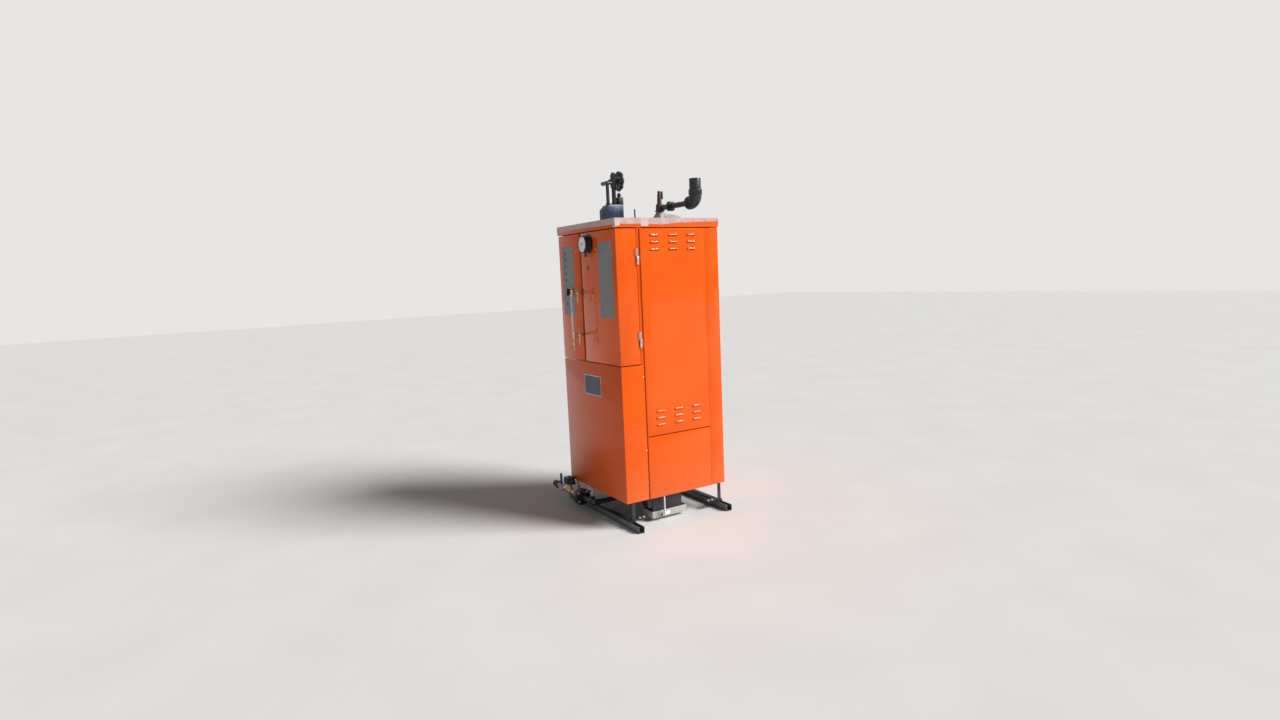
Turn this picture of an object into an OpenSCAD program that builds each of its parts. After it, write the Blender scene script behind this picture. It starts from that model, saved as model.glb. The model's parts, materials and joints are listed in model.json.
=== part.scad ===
// Upright electric steam boiler in a sheet-metal cabinet, standing on two channel rails.
// X is to the right seen from the front, the doors face -Y, and the floor is at Z = 0.

/* [Cabinet] */
// Width of the cabinet
cabinet_w = 780; // [760:5:840]
// Depth of the cabinet
cabinet_d = 765; // [745:5:820]
// Height of the cabinet's sheet-metal skin
cabinet_h = 1700; // [1640:10:1800]
// Height of the skin's lower edge above the floor
floor_gap = 170; // [165:5:200]
// Thickness of the skin
sheet = 2; // [1.5:0.5:2.5]
// Gap between the edges of two covers
seam = 6; // [5:1:8]

/* [Lid] */
// Height of the lid's folded edge
lid_h = 56; // [50:1:65]
// How far the lid's edge stands out past the skin
lid_overhang = 5; // [4.5:0.5:8]

/* [Doors] */
// Height of the seam under the doors, above the skin's lower edge
door_seam_h = 862; // [820:2:900]
// Depth of the part of a door that wraps round the corner
door_return = 142; // [130:1:150]
// Middle of the slot between the doors, from the cabinet's middle
slot_x = -75; // [-85:1:-65]
// Width of the slot between the doors
slot_w = 24; // [24:1:28]
// Depth of the folded edges of a door
door_fold = 18; // [12:1:20]
// Length of one hinge
hinge_len = 98; // [80:2:110]
// Radius of a hinge's knuckles
hinge_r = 6; // [5:0.5:7]
// Radius of a hinge pin
hinge_pin_r = 3; // [2.5:0.5:3.5]
// Height of the upper hinges' middle above the skin's lower edge
hinge_high = 1525; // [1450:5:1560]
// Height of the lower hinges' middle above the skin's lower edge
hinge_low = 1018; // [960:2:1050]
// Place of the lock across the front, from the cabinet's middle
lock_x = 31; // [20:1:45]
// Height of the lock above the skin's lower edge
lock_h = 1467; // [1440:1:1480]
// Radius of the lock's barrel
lock_r = 9; // [7:0.5:10]

/* [Lower front panel] */
// Depth of the part of the panel that wraps round the corner
lower_return = 162; // [152:1:165]

/* [Side panels] */
// Front edge of a side panel, from the front of the cabinet
side_front = 168; // [166:1:180]
// Rear edge of a side panel, from the front of the cabinet
side_rear = 652; // [640:1:656]
// How far a side panel stands out past the skin
side_proud = 6; // [4:1:8]
// Height of the seam between the two side panels, above the skin's lower edge
side_seam_h = 400; // [360:5:430]

/* [Louvres] */
// Louvres in one row
louvre_columns = 3; // [2:1:3]
// Louvres above each other in one group
louvre_rows = 3; // [2:1:3]
// Length of a louvre
louvre_len = 78; // [70:1:84]
// Distance from one louvre to the next one beside it
louvre_step_y = 138; // [130:1:142]
// Distance from one louvre to the next one above it
louvre_step_z = 43.5; // [40:0.5:46]
// How far a louvre stands out
louvre_out = 8; // [6:0.5:10]
// Height of the upper group's middle row above the skin's lower edge
louvre_high = 1606; // [1580:2:1620]
// Radius of a louvre's curve
louvre_r = 15; // [12:1:18]
// Height of the lower group's middle row above the skin's lower edge
louvre_low = 508; // [490:2:540]

/* [Rear panel] */
// Depth of the part of the rear panel that wraps round the corner
rear_return = 108; // [100:1:109]

/* [Frame] */
// Width of the corner posts' legs
post_w = 40; // [36:1:50]
// Thickness of the corner posts
post_t = 3; // [2:0.5:4]
// Height of the bearers under the cabinet
sill_h = 40; // [30:5:50]
// Width of the bearers that carry the vessel
bearer_w = 60; // [50:5:80]

/* [Legs and rails] */
// Width of a leg's angle section
leg_w = 25; // [22:1:32]
// Thickness of a leg's angle section
leg_t = 4; // [3:0.5:5]
// Width of the plate under a leg and of the bar on the rail
foot_w = 36; // [32:1:40]
// Length of the plate under a leg
foot_len = 120; // [90:5:140]
// Thickness of the plate under a leg and of the bar on the rail
foot_t = 8; // [6:1:10]
// Distance from a floor bolt to the rail's end
rail_end = 53; // [40:1:70]
// Width and height of a rail's section
rail_w = 41; // [41:1:45]
// Thickness of a rail's section
rail_t = 2.5; // [2:0.5:3]
// Width of the lips along a rail's open top
rail_lip = 8; // [6:1:10]
// Distance from the front or the back of the cabinet to a rail's middle
rail_inset = 40; // [40:1:60]
// Distance between the floor bolts along a rail
floor_bolt_span = 860; // [780:10:900]
// Radius of a floor bolt's hole
floor_bolt_r = 7; // [5.5:0.5:8]

/* [Vessel] */
// Diameter of the vessel with its insulation jacket
vessel_d = 560; // [520:5:580]
// Height of the vessel's straight wall
vessel_h = 1540; // [1480:10:1560]
// Rise of the vessel's domed top
dome_h = 90; // [70:5:110]

/* [Pressure gauge] */
// Radius of the gauge's case
gauge_r = 54; // [50:1:60]
// Depth of the gauge's case
gauge_depth = 48; // [40:1:55]
// Radius of the gauge's mounting flange
gauge_flange_r = 64; // [62:1:70]
// Place of the gauge across the front, from the cabinet's middle
gauge_x = 42; // [36:1:60]
// Height of the gauge's middle above the skin's lower edge
gauge_h = 1620; // [1600:2:1626]

/* [Sight glass] */
// Height of the upper cock above the skin's lower edge
upper_cock_h = 1315; // [1280:5:1340]
// Height of the lower cock above the skin's lower edge
lower_cock_h = 1040; // [1010:5:1060]
// Distance from the doors to the middle of the glass
glass_out = 76; // [72:1:80]
// Radius of the glass tube
glass_r = 6; // [5:0.5:7]
// Radius of the arm that passes between the doors
cock_arm_r = 7; // [6:0.5:7]
// Length of a cock's lever
cock_lever_len = 64; // [50:2:70]

/* [Isolator and lamps] */
// Place of the isolator across the front, from the cabinet's middle
isolator_x = -240; // [-260:2:-220]
// Height of the isolator above the skin's lower edge
isolator_h = 1317; // [1300:1:1330]
// Side of the isolator's square plate
isolator_plate = 58; // [54:1:64]
// Radius of the isolator's knob
knob_r = 24; // [20:1:30]
// Radius of an indicator lamp
lamp_r = 9; // [7:0.5:11]
// Place of the lamps across the front, from the cabinet's middle
lamp_x = -304; // [-320:2:-296]
// Distance between two lamps
lamp_step = 45; // [40:1:48]
// Height of the highest lamp above the skin's lower edge
lamp_high = 1577; // [1560:1:1590]
// Height of the single lamp under the isolator above the skin's lower edge
lamp_low = 1235; // [1225:1:1245]

/* [Steam outlet] */
// Place of the valve chest from the cabinet's middle, across
chest_x = -100; // [-110:1:-90]
// Place of the valve chest from the cabinet's middle, front to back
chest_y = -119; // [-124:1:-114]
// Depth of the valve chest, front to back
chest_d = 142; // [136:2:150]
// Width of the valve chest
chest_w = 80; // [76:2:100]
// Height of the valve chest above the lid
chest_h = 122; // [116:2:130]
// Radius of the steam pipe
steam_pipe_r = 14; // [12:0.5:15]
// Length of the steam pipe from the valve's middle
steam_pipe_len = 150; // [120:5:180]
// Height of the steam valve's middle above the lid
steam_valve_h = 282; // [276:2:300]
// Radius of the handwheel
wheel_r = 66; // [56:1:70]

/* [Safety valve] */
// Place of the safety valve from the cabinet's middle, across
safety_x = -50; // [-60:1:0]
// Place of the safety valve from the cabinet's middle, front to back
safety_y = 232; // [210:1:236]
// Radius of the outlet pipe
relief_r = 18; // [16:0.5:19]
// Height of the outlet's middle above the lid
relief_h = 104; // [100:1:115]
// Radius of the large elbow
elbow_r = 40; // [36:1:42]
// Distance from the safety valve to the large elbow's middle
elbow_out = 419; // [400:1:430]
// Length of the pipe stub over the large elbow
stub_len = 100; // [90:5:120]

/* [Blowdown line] */
// Height of the line above the floor
blow_z = 88; // [86:1:92]
// Distance from the front of the cabinet to the line
blow_out = 30; // [28:1:40]
// Radius of the pipe
blow_r = 16.5; // [15:0.5:18]
// Radius of the flanges
blow_flange_r = 57.5; // [50:0.5:58]
// Thickness of a flange
blow_flange_t = 16; // [14:1:18]
// Place of the flange joint across the front, from the cabinet's middle
blow_flange_x = -182; // [-196:2:-176]
// Place of the solenoid coil across the front, from the cabinet's middle
coil_x = -366; // [-380:2:-362]
// Length of the ball valve's lever
ball_lever_len = 118; // [100:2:130]
// Radius of the white hose over the line
hose_r = 10.5; // [8:0.5:11]

/* [Wiring trough] */
// Length of the trough
trough_len = 265; // [240:5:290]
// Width of the trough
trough_w = 120; // [100:2:130]
// Height of the trough
trough_h = 46; // [40:1:50]
// Height of the trough above the floor
trough_z = 20; // [16:1:30]

/* [Hidden] */
$fn = 48;
eps = 0.01;

// Planes that most pieces are set out from
front_y = -cabinet_d / 2;
rear_y = cabinet_d / 2;
side_x = cabinet_w / 2;
skin_top = floor_gap + cabinet_h;
lid_top = skin_top + lid_h;
seam_z = floor_gap + door_seam_h;

// Doors
door_low = seam_z + seam / 2;
door_high = skin_top - seam;
slot_left = slot_x - slot_w / 2;
slot_right = slot_x + slot_w / 2;
hinge_x = side_x + hinge_r + 0.5;
hinge_y = front_y + door_return + 2.5;
pin_fit = 0.05;
leaf_t = 2;
leaf_w = 20;
lock_z = floor_gap + lock_h;
lock_ring_r = 14;
lock_ring_t = 3;
cam_len = 40;

// Isolator
isolator_z = floor_gap + isolator_h;
isolator_neck_r = 15;
isolator_plate_t = 5;
shaft_r = 4;
lamp_out = 6;

// Frame
post_front_y = front_y + door_return + 5;
post_rear_y = rear_y - sheet;
post_out = side_x - sheet;
sill_top = floor_gap + sill_h;
post_high = lid_top - sheet;

// Rails and legs
rail_len = floor_bolt_span + 2 * rail_end;
rail_y = cabinet_d / 2 - rail_inset;
foot_bar_z = rail_w;
leg_low = foot_bar_z + foot_t;
leg_x = side_x - post_t - sheet;

// Sight glass
upper_cock_z = floor_gap + upper_cock_h;
lower_cock_z = floor_gap + lower_cock_h;
glass_y = front_y - glass_out;
vessel_r = vessel_d / 2;
slot_inner = abs(slot_x) - cock_arm_r;
vessel_face_y = -sqrt(vessel_r * vessel_r - slot_inner * slot_inner);
gland_r = 10;
gland_half = 20;
gland_depth = 16;
body_y = front_y - 25;
plug_y = front_y - 43;
plug_r = 4;
boss_out = 5;
lever_t = 5;

// Vessel and what stands on it
vessel_low = sill_top;
vessel_top = vessel_low + vessel_h;
nozzle_r = 24;
nozzle_gap = 5;

vent_r = 5;
vent_h = 90;

// Steam outlet
base_z = lid_top + nozzle_gap - 1;
chest_top = base_z + chest_h;
riser_y = chest_y + 23;
bypass_riser_y = chest_y - 24;
wheel_y = riser_y + 35;
wheel_t = 12;
steam_z = lid_top + steam_valve_h;
spindle_r = 5;

// Safety valve
relief_z = lid_top + relief_h;
lug_half = 5;
safety_pin_r = 3;
safety_pin_z = relief_z + 108;

// Blowdown line
blow_y = front_y - blow_out;
flange_end = blow_flange_x - 2 * blow_flange_t - 0.3;
dump_x = flange_end - 22;
dump_end = coil_x - 28;
ball_x = dump_end - 28;
ball_r = 19;
ball_end = ball_x - 32;
ball_boss = 33;
adapter_end = ball_end - 91;
tail_len = 60;
bypass_y = front_y + 14;
bypass_left = -322;
bypass_right = -96;
port_r = 12;
port_top = 14;

// Wiring trough and the box over it
trough_side = post_out - sill_h + 4;
trough_y = front_y + 205;
gland_y = 75;

/* Shared shapes */

// A round bar from one place along an axis
module bar_x(x0, x1, r) {
    translate([x0, 0, 0]) rotate([0, 90, 0]) cylinder(h = x1 - x0, r = r);
}

module bar_y(y0, y1, r) {
    translate([0, y0, 0]) rotate([-90, 0, 0]) cylinder(h = y1 - y0, r = r);
}

// A quarter bend of pipe from the origin along +X and then up
module bend_up(r, pipe_r) {
    translate([0, 0, r]) rotate([90, 0, 0]) rotate([0, 0, -90])
        rotate_extrude(angle = 90) translate([r, 0]) circle(r = pipe_r);
}

// A hexagon's outline, for nuts, measured over its corners
module hexagon(r) {
    polygon([for (a = [0:60:300]) [r * cos(a), r * sin(a)]]);
}

module nut_x(x0, x1, r) {
    translate([x0, 0, 0]) rotate([90, 0, 90]) linear_extrude(x1 - x0) hexagon(r);
}

module nut_y(y0, y1, r) {
    translate([0, y1, 0]) rotate([90, 0, 0]) linear_extrude(y1 - y0) hexagon(r);
}

module nut_z(z0, z1, r) {
    translate([0, 0, z0]) linear_extrude(z1 - z0) hexagon(r);
}

// Cross-section of a door with its folded edges, for the right door, corner at the origin
module door_profile(width) {
    polygon([
        [0, 0], [0, door_return], [-door_fold, door_return], [-door_fold, door_return - sheet],
        [-sheet, door_return - sheet], [-sheet, sheet], [sheet - width, sheet],
        [sheet - width, door_fold], [-width, door_fold], [-width, 0]
    ]);
}

// Flange that closes a door's upper or lower edge
module door_flange(width) {
    difference() {
        translate([-width, 0]) square([width, door_return]);
        translate([-width - eps, door_fold]) square([width - door_fold + eps, door_return]);
    }
}

// A door for the right side, its outer corner on the Z axis
module door_shell(width) {
    translate([0, 0, door_low]) {
        linear_extrude(door_high - door_low) door_profile(width);
        linear_extrude(sheet) door_flange(width);
        translate([0, 0, door_high - door_low - sheet]) linear_extrude(sheet) door_flange(width);
    }
}

// The door's half of a hinge: leaf, web and upper knuckle
module door_knuckle(z) {
    knuckle = hinge_len / 2 - 0.25;
    translate([side_x, hinge_y - leaf_w, z + 0.25]) cube([leaf_t, leaf_w - 2.5, knuckle]);
    difference() {
        translate([0, 0, z + 0.25]) union() {
            translate([hinge_x, hinge_y, 0]) cylinder(h = knuckle, r = hinge_r);
            translate([side_x + 0.5, hinge_y - leaf_w / 2, 0]) cube([hinge_r, leaf_w / 2, knuckle]);
        }
        translate([hinge_x, hinge_y, z]) cylinder(h = knuckle - 3, r = hinge_pin_r + pin_fit);
    }
}

// The post's half of a hinge: leaf, web, lower knuckle and pin
module post_knuckle(z) {
    knuckle = hinge_len / 2;
    translate([post_out, hinge_y + 4, z - knuckle]) cube([leaf_t, leaf_w - 8, knuckle]);
    translate([hinge_x, hinge_y, z - knuckle]) cylinder(h = knuckle, r = hinge_r);
    translate([post_out, hinge_y + 2.5, z - knuckle])
        cube([hinge_x - post_out, hinge_r - 2.5, knuckle]);
    translate([hinge_x, hinge_y, z]) cylinder(h = knuckle - 4, r = hinge_pin_r);
}

module lid() {
    color("orangered") difference() {
        translate([-side_x - lid_overhang, front_y - lid_overhang, skin_top])
            cube([cabinet_w + 2 * lid_overhang, cabinet_d + 2 * lid_overhang, lid_h]);
        translate([-side_x - lid_overhang + sheet, front_y - lid_overhang + sheet, skin_top - eps])
            cube([cabinet_w + 2 * (lid_overhang - sheet), cabinet_d + 2 * (lid_overhang - sheet),
                lid_h - sheet + eps]);
        translate([chest_x, chest_y, skin_top]) cylinder(h = 2 * lid_h, r = nozzle_r + nozzle_gap);
        translate([safety_x, safety_y, skin_top]) cylinder(h = 2 * lid_h, r = nozzle_r + nozzle_gap);
        translate([0, 0, skin_top]) cylinder(h = 2 * lid_h, r = vent_r + nozzle_gap);
    }
}

module right_door() {
    width = side_x - slot_right;
    color("orangered") difference() {
        union() {
            translate([side_x, front_y, 0]) door_shell(width);
            for (h = [hinge_low, hinge_high]) door_knuckle(floor_gap + h);
        }
        translate([lock_x, front_y, lock_z]) bar_y(-1, sheet + 1, lock_r + pin_fit);
    }
}

module left_door() {
    width = side_x + slot_left;
    color("orangered") difference() {
        mirror([1, 0, 0]) {
            translate([side_x, front_y, 0]) door_shell(width);
            for (h = [hinge_low, hinge_high]) door_knuckle(floor_gap + h);
        }
        translate([isolator_x, front_y, isolator_z]) bar_y(-1, sheet + 1, isolator_neck_r);
    }
}

module door_hinges() {
    color("silver") for (side = [0, 1]) mirror([side, 0, 0])
        for (h = [hinge_low, hinge_high]) post_knuckle(floor_gap + h);
}

// Round lock in the right door, with its ring outside and its cam inside
module door_lock() {
    color("silver") translate([lock_x, front_y, lock_z]) {
        difference() {
            bar_y(-lock_ring_t - 0.3, -0.3, lock_ring_r);
            bar_y(-lock_ring_t - 1, -2, 4);
        }
        bar_y(-1, 16, lock_r);
        translate([-8, 12, -cam_len]) cube([16, 4, cam_len]);
    }
}

module pressure_gauge() {
    gauge_z = floor_gap + gauge_h;
    stem_r = 9;
    color("black") translate([gauge_x, front_y, gauge_z]) {
        bar_y(-4, 0, gauge_flange_r);
        difference() {
            union() {
                bar_y(-gauge_depth, -gauge_depth + 10, gauge_r);
                bar_y(-gauge_depth + 9, -4 + eps, gauge_r - 2.5);
            }
            bar_y(-gauge_depth - 1, -gauge_depth + 5, gauge_r - 4);
        }
        translate([0, -gauge_depth / 2, -gauge_r]) {
            translate([0, 0, -14]) cylinder(h = 20, r = stem_r - 2);
            nut_z(-26, -12, stem_r + 1.5);
        }
    }
}

module indicator_lamps() {
    heights = concat([for (i = [0:4]) lamp_high - i * lamp_step], [lamp_low]);
    color("black") for (h = heights) translate([lamp_x, front_y, floor_gap + h]) {
        bar_y(-2, 0, lamp_r);
        bar_y(-lamp_out, -2, lamp_r - 1.5);
    }
}

module isolator_base() {
    color("dimgray") translate([isolator_x, front_y, isolator_z]) difference() {
        union() {
            translate([-isolator_plate / 2, -isolator_plate_t, -isolator_plate / 2])
                cube([isolator_plate, isolator_plate_t, isolator_plate]);
            bar_y(-eps, sheet + 0.3 + eps, isolator_neck_r - 0.3);
            translate([-24, sheet + 0.3, -24]) cube([48, 42, 48]);
        }
        bar_y(-isolator_plate_t - 1, 24, shaft_r + pin_fit);
    }
}

module isolator_knob() {
    color("black") translate([isolator_x, front_y - isolator_plate_t - 0.5, isolator_z]) {
        bar_y(-8, 0, knob_r);
        translate([-6, -28, -knob_r]) cube([12, 21, 2 * knob_r]);
        bar_y(-1, 22, shaft_r);
    }
}

module lower_front_panel() {
    height = door_seam_h - seam / 2;
    fold = 20;
    color("orangered") translate([0, front_y, floor_gap]) {
        difference() {
            translate([-side_x, 0, 0]) cube([cabinet_w, lower_return, height]);
            translate([-side_x + sheet, sheet, -1])
                cube([cabinet_w - 2 * sheet, lower_return, height + 2]);
        }
        translate([-side_x, 0, height - sheet]) cube([cabinet_w, fold, sheet]);
    }
}

// One louvre pressed out of a panel that lies in the YZ plane and faces +X
module louvre_skin(r, len) {
    intersection() {
        translate([louvre_out - r, 0, 0]) union() {
            bar_y(-len / 2 + r, len / 2 - r, r);
            for (y = [-len / 2 + r, len / 2 - r]) translate([0, y, 0]) sphere(r = r);
        }
        translate([-2 * r, -len, 0]) cube([4 * r, 2 * len, 2 * r]);
    }
}

// A side panel with folded edges, facing +X, from one height to another
module side_panel(z0, z1) {
    depth = side_rear - side_front;
    rim = side_proud + sheet;
    translate([post_out, front_y + side_front, z0]) difference() {
        cube([rim, depth, z1 - z0]);
        translate([-1, sheet, sheet]) cube([rim - sheet + 1, depth - 2 * sheet, z1 - z0 - 2 * sheet]);
    }
}

module louvre_group(z, r, out) {
    first = front_y + (side_front + side_rear) / 2 - (louvre_columns - 1) * louvre_step_y / 2;
    for (i = [0:louvre_columns - 1]) for (j = [0:louvre_rows - 1])
        translate([side_x + side_proud - out, first + i * louvre_step_y,
            z + (j - (louvre_rows - 1) / 2) * louvre_step_z]) louvre_skin(r, louvre_len - 2 * out);
}

module upper_panel() {
    color("darkorange") difference() {
        union() {
            side_panel(floor_gap + side_seam_h + seam / 2, skin_top - seam);
            for (z = [louvre_low, louvre_high]) louvre_group(floor_gap + z, louvre_r, 0);
        }
        for (z = [louvre_low, louvre_high]) louvre_group(floor_gap + z, louvre_r - sheet, sheet);
    }
}

module lower_side_panels() {
    color("darkorange") for (side = [0, 1]) mirror([side, 0, 0])
        side_panel(floor_gap, floor_gap + side_seam_h - seam / 2);
}

module rear_panel() {
    height = cabinet_h - seam;
    color("orangered") translate([0, rear_y, floor_gap]) difference() {
        translate([-side_x, -rear_return, 0]) cube([cabinet_w, rear_return, height]);
        translate([-side_x + sheet, -rear_return - sheet, -1])
            cube([cabinet_w - 2 * sheet, rear_return, height + 2]);
    }
}

// Angle post with its corner at the origin, legs along -X and +Y
module angle_post(h, w, t) {
    linear_extrude(h) polygon([[0, 0], [0, w], [-t, w], [-t, t], [-w, t], [-w, 0]]);
}

module upper_frame() {
    bar_h = 30;
    inner_x = post_out - post_t;
    color("orangered") for (side = [0, 1]) mirror([side, 0, 0]) {
        translate([post_out, post_front_y, sill_top]) angle_post(post_high - sill_top, post_w, post_t);
        translate([post_out, post_rear_y, sill_top]) mirror([0, 1, 0])
            angle_post(post_high - sill_top, post_w, post_t);
        translate([inner_x, post_front_y + post_t - eps, post_high - bar_h])
            cube([post_t, post_rear_y - post_front_y - 2 * post_t + 2 * eps, bar_h]);
    }
}

module base_frame() {
    inner_x = post_out - sill_h;
    bearers = [front_y + sheet, -vessel_r + bearer_w, vessel_r - 2 * bearer_w,
        rear_y - sheet - bearer_w];
    color("black") union() {
        for (side = [0, 1]) mirror([side, 0, 0]) translate([inner_x, front_y + sheet, floor_gap])
            cube([sill_h, cabinet_d - 2 * sheet, sill_h]);
        for (y = bearers) translate([-inner_x - eps, y, floor_gap])
            cube([2 * inner_x + 2 * eps, bearer_w, sill_h]);
    }
}

module legs() {
    color("black") for (side = [0, 1]) mirror([side, 0, 0]) for (back = [0, 1]) mirror([0, back, 0])
        translate([leg_x, -rail_y - foot_w / 2, leg_low]) {
            translate([0, foot_w - leg_w, 0]) angle_post(floor_gap - leg_low, leg_w, leg_t);
            translate([-foot_w, 0, 0]) cube([foot_w, foot_len, foot_t]);
        }
}

module foot_bars() {
    color("black") for (back = [-1, 1])
        translate([-leg_x, back * rail_y - foot_w / 2, foot_bar_z]) cube([2 * leg_x, foot_w, foot_t]);
}

module rail() {
    half = rail_w / 2;
    difference() {
        rotate([90, 0, 90]) translate([0, 0, -rail_len / 2]) linear_extrude(rail_len) polygon([
            [-half, 0], [half, 0], [half, rail_w], [half - rail_lip, rail_w],
            [half - rail_lip, rail_w - rail_t], [half - rail_t, rail_w - rail_t],
            [half - rail_t, rail_t], [rail_t - half, rail_t], [rail_t - half, rail_w - rail_t],
            [rail_lip - half, rail_w - rail_t], [rail_lip - half, rail_w], [-half, rail_w]
        ]);
        for (x = [-1, 1]) translate([x * floor_bolt_span / 2, 0, -1])
            cylinder(h = rail_t + 2, r = floor_bolt_r);
    }
}

module rails() {
    color("gray") for (back = [-1, 1]) translate([0, back * rail_y, 0]) rail();
}

module boiler_vessel() {
    shoulder = 40;
    color("lightgray") union() {
        translate([0, 0, vessel_low]) rotate_extrude($fn = 96) polygon(concat(
            [[0, 0], [vessel_r, 0]],
            [for (a = [0:10:90]) [vessel_r - shoulder + shoulder * cos(a),
                vessel_h - shoulder + shoulder * sin(a)]],
            [[0, vessel_h + dome_h - shoulder]]
        ));
        for (p = [[chest_x, chest_y], [safety_x, safety_y]]) translate([p[0], p[1], vessel_top - 20])
            cylinder(h = base_z - vessel_top + 20 - 0.3, r = nozzle_r);
        translate([0, 0, vessel_top]) cylinder(h = lid_top + vent_h - vessel_top, r = vent_r);
    }
}

// A cock on the sight glass: arm to the vessel, body with its plug boss, and the gland with
// its nut. The gland opens upwards on the lower cock and downwards on the upper one.
module cock(z, up) {
    color("gold") translate([slot_x, 0, z]) mirror([0, 0, up ? 0 : 1]) difference() {
        union() {
            bar_y(body_y - 5, vessel_face_y - 0.3, cock_arm_r);
            nut_y(body_y - 8, body_y + 2, gland_r + 1);
            bar_y(glass_y, body_y, gland_r - 1);
            translate([0, glass_y, 0]) {
                translate([0, 0, -gland_half]) cylinder(h = gland_half, r = gland_r - 1.5);
                translate([0, 0, -gland_half]) nut_z(0, 8, gland_r + 0.5);
                cylinder(h = 6, r = gland_r - 0.5);
                nut_z(6, gland_half, gland_r + 2);
            }
            translate([0, plug_y, 0]) bar_x(0, gland_r + boss_out - 0.3, plug_r + 3);
            translate([0, plug_y, 0]) nut_x(-gland_r - 3, 0, plug_r + 4);
        }
        translate([0, plug_y, 0]) bar_x(-2, gland_r + boss_out + 1, plug_r + pin_fit);
        translate([0, glass_y, gland_half - gland_depth])
            cylinder(h = gland_depth + 1, r = glass_r + 0.3);
    }
}

module cock_lever(z) {
    x0 = slot_x + gland_r + boss_out;
    color("silver") translate([x0, plug_y, z]) {
        bar_x(0, lever_t, plug_r + 2);
        bar_x(-boss_out - gland_r, 1, plug_r);
        translate([0, -4, -cock_lever_len]) cube([lever_t, 8, cock_lever_len]);
    }
}

module gauge_cocks() {
    cock(upper_cock_z, false);
    cock(lower_cock_z, true);
}

module upper_cock_lever() {
    cock_lever(upper_cock_z);
}

module lower_cock_lever() {
    cock_lever(lower_cock_z);
}

module gauge_glass() {
    low = lower_cock_z + gland_half - gland_depth + 0.3;
    high = upper_cock_z - gland_half + gland_depth - 0.3;
    color("lightblue") translate([slot_x, glass_y, low]) cylinder(h = high - low, r = glass_r);
}

module glass_guard() {
    low = lower_cock_z + gland_half;
    high = upper_cock_z - gland_half;
    rod_r = 2;
    color("silver") for (side = [-1, 1]) translate([slot_x + side * 6, glass_y - 7, low])
        cylinder(h = high - low, r = rod_r);
}

module drain_cock() {
    low = lower_cock_z - gland_half;
    color("gold") translate([slot_x, glass_y, low]) {
        translate([0, 0, -30]) cylinder(h = 30, r = 5);
        translate([0, 0, -44]) nut_z(0, 16, 9);
        translate([0, 0, -36]) bar_x(-22, 0, 5);
        translate([-34, -7, -40]) cube([14, 14, 8]);
        translate([0, 0, -80]) cylinder(h = 40, r = 4);
    }
}

module valve_chest() {
    slope_d = 32;
    slope_h = 33;
    color("navy") translate([chest_x, chest_y, base_z]) rotate([90, 0, 90])
        translate([0, 0, -chest_w / 2]) linear_extrude(chest_w) polygon([
            [-chest_d / 2, 0], [chest_d / 2, 0], [chest_d / 2, chest_h],
            [-chest_d / 2 + slope_d, chest_h], [-chest_d / 2, chest_h - slope_h]
        ]);
}

// Riser with the valve's body, its bonnet, the pipe to the left, and the thin riser in front
module steam_valve() {
    bonnet = wheel_y - 6;
    thin_r = 11;
    top = 56;
    color("black") difference() {
        union() {
            translate([chest_x, riser_y, 0]) {
                translate([0, 0, chest_top]) cylinder(h = steam_z + top - chest_top, r = steam_pipe_r);
                nut_z(chest_top, chest_top + 16, steam_pipe_r + 5);
                nut_z(steam_z - 44, steam_z - 26, steam_pipe_r + 6);
                translate([0, 0, steam_z - 27]) cylinder(h = 54, r = 19);
                nut_z(steam_z + 26, steam_z + 42, steam_pipe_r + 6);
            }
            translate([0, riser_y, steam_z]) {
                bar_x(chest_x - steam_pipe_len, chest_x, steam_pipe_r);
                nut_x(chest_x - 44, chest_x - 26, steam_pipe_r + 6);
            }
            translate([chest_x, 0, steam_z]) {
                bar_y(riser_y, bonnet, 13);
                nut_y(bonnet - 12, bonnet - 2, 17);
            }
            translate([chest_x, bypass_riser_y, 0]) {
                translate([0, 0, chest_top]) cylinder(h = steam_z - 12 - chest_top, r = thin_r);
                nut_z(chest_top, chest_top + 12, thin_r + 5);
                translate([0, 0, steam_z - 12]) sphere(r = thin_r);
            }
            translate([chest_x, 0, steam_z - 12]) bar_y(bypass_riser_y, riser_y, thin_r);
        }
        translate([chest_x, 0, steam_z]) bar_y(riser_y + 8, wheel_y, spindle_r + pin_fit);
    }
}

module steam_handwheel() {
    lobes = 8;
    color("black") translate([chest_x, 0, steam_z]) {
        translate([0, wheel_y + wheel_t, 0]) rotate([90, 0, 0]) linear_extrude(wheel_t) difference() {
            circle(r = wheel_r);
            for (i = [0:lobes - 1]) rotate(360 * i / lobes) {
                translate([wheel_r / 2, 0]) circle(r = 9);
                rotate(180 / lobes) translate([wheel_r + 8, 0]) circle(r = 14);
            }
        }
        bar_y(riser_y + 12, wheel_y + 1, spindle_r);
        bar_y(wheel_y - 5, wheel_y + wheel_t + 4, 11);
    }
}

module pressure_switch() {
    width = 54;
    depth = 34;
    height = 52;
    color("black") translate([chest_x, chest_y + 62, chest_top]) {
        translate([-width / 2, -depth / 2, 0]) cube([width, depth, height]);
        translate([0, 0, height]) {
            cylinder(h = 28, r = 10);
            nut_z(6, 18, 15);
        }
    }
}

module safety_valve() {
    seat = base_z - relief_z;
    color("saddlebrown") translate([safety_x, safety_y, relief_z]) difference() {
        union() {
            nut_z(seat, seat + 26, 27);
            translate([0, 0, seat]) cylinder(h = -10 - seat, r = 20);
            translate([0, 0, -24]) cylinder(h = 8, r = 32);
            translate([0, 0, -17]) cylinder(h = 36, r = 26);
            translate([0, 0, 18]) cylinder(h = 14, r1 = 26, r2 = 17);
            translate([0, 0, 31]) cylinder(h = 66, r1 = 16, r2 = 13);
            bar_x(0, 40, 20);
            bar_x(30, 40, 24);
            translate([-lug_half, -8, 92]) cube([2 * lug_half, 16, 24]);
        }
        translate([0, 0, safety_pin_z - relief_z])
            bar_x(-lug_half - 1, lug_half + 1, safety_pin_r + pin_fit);
    }
}

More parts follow.
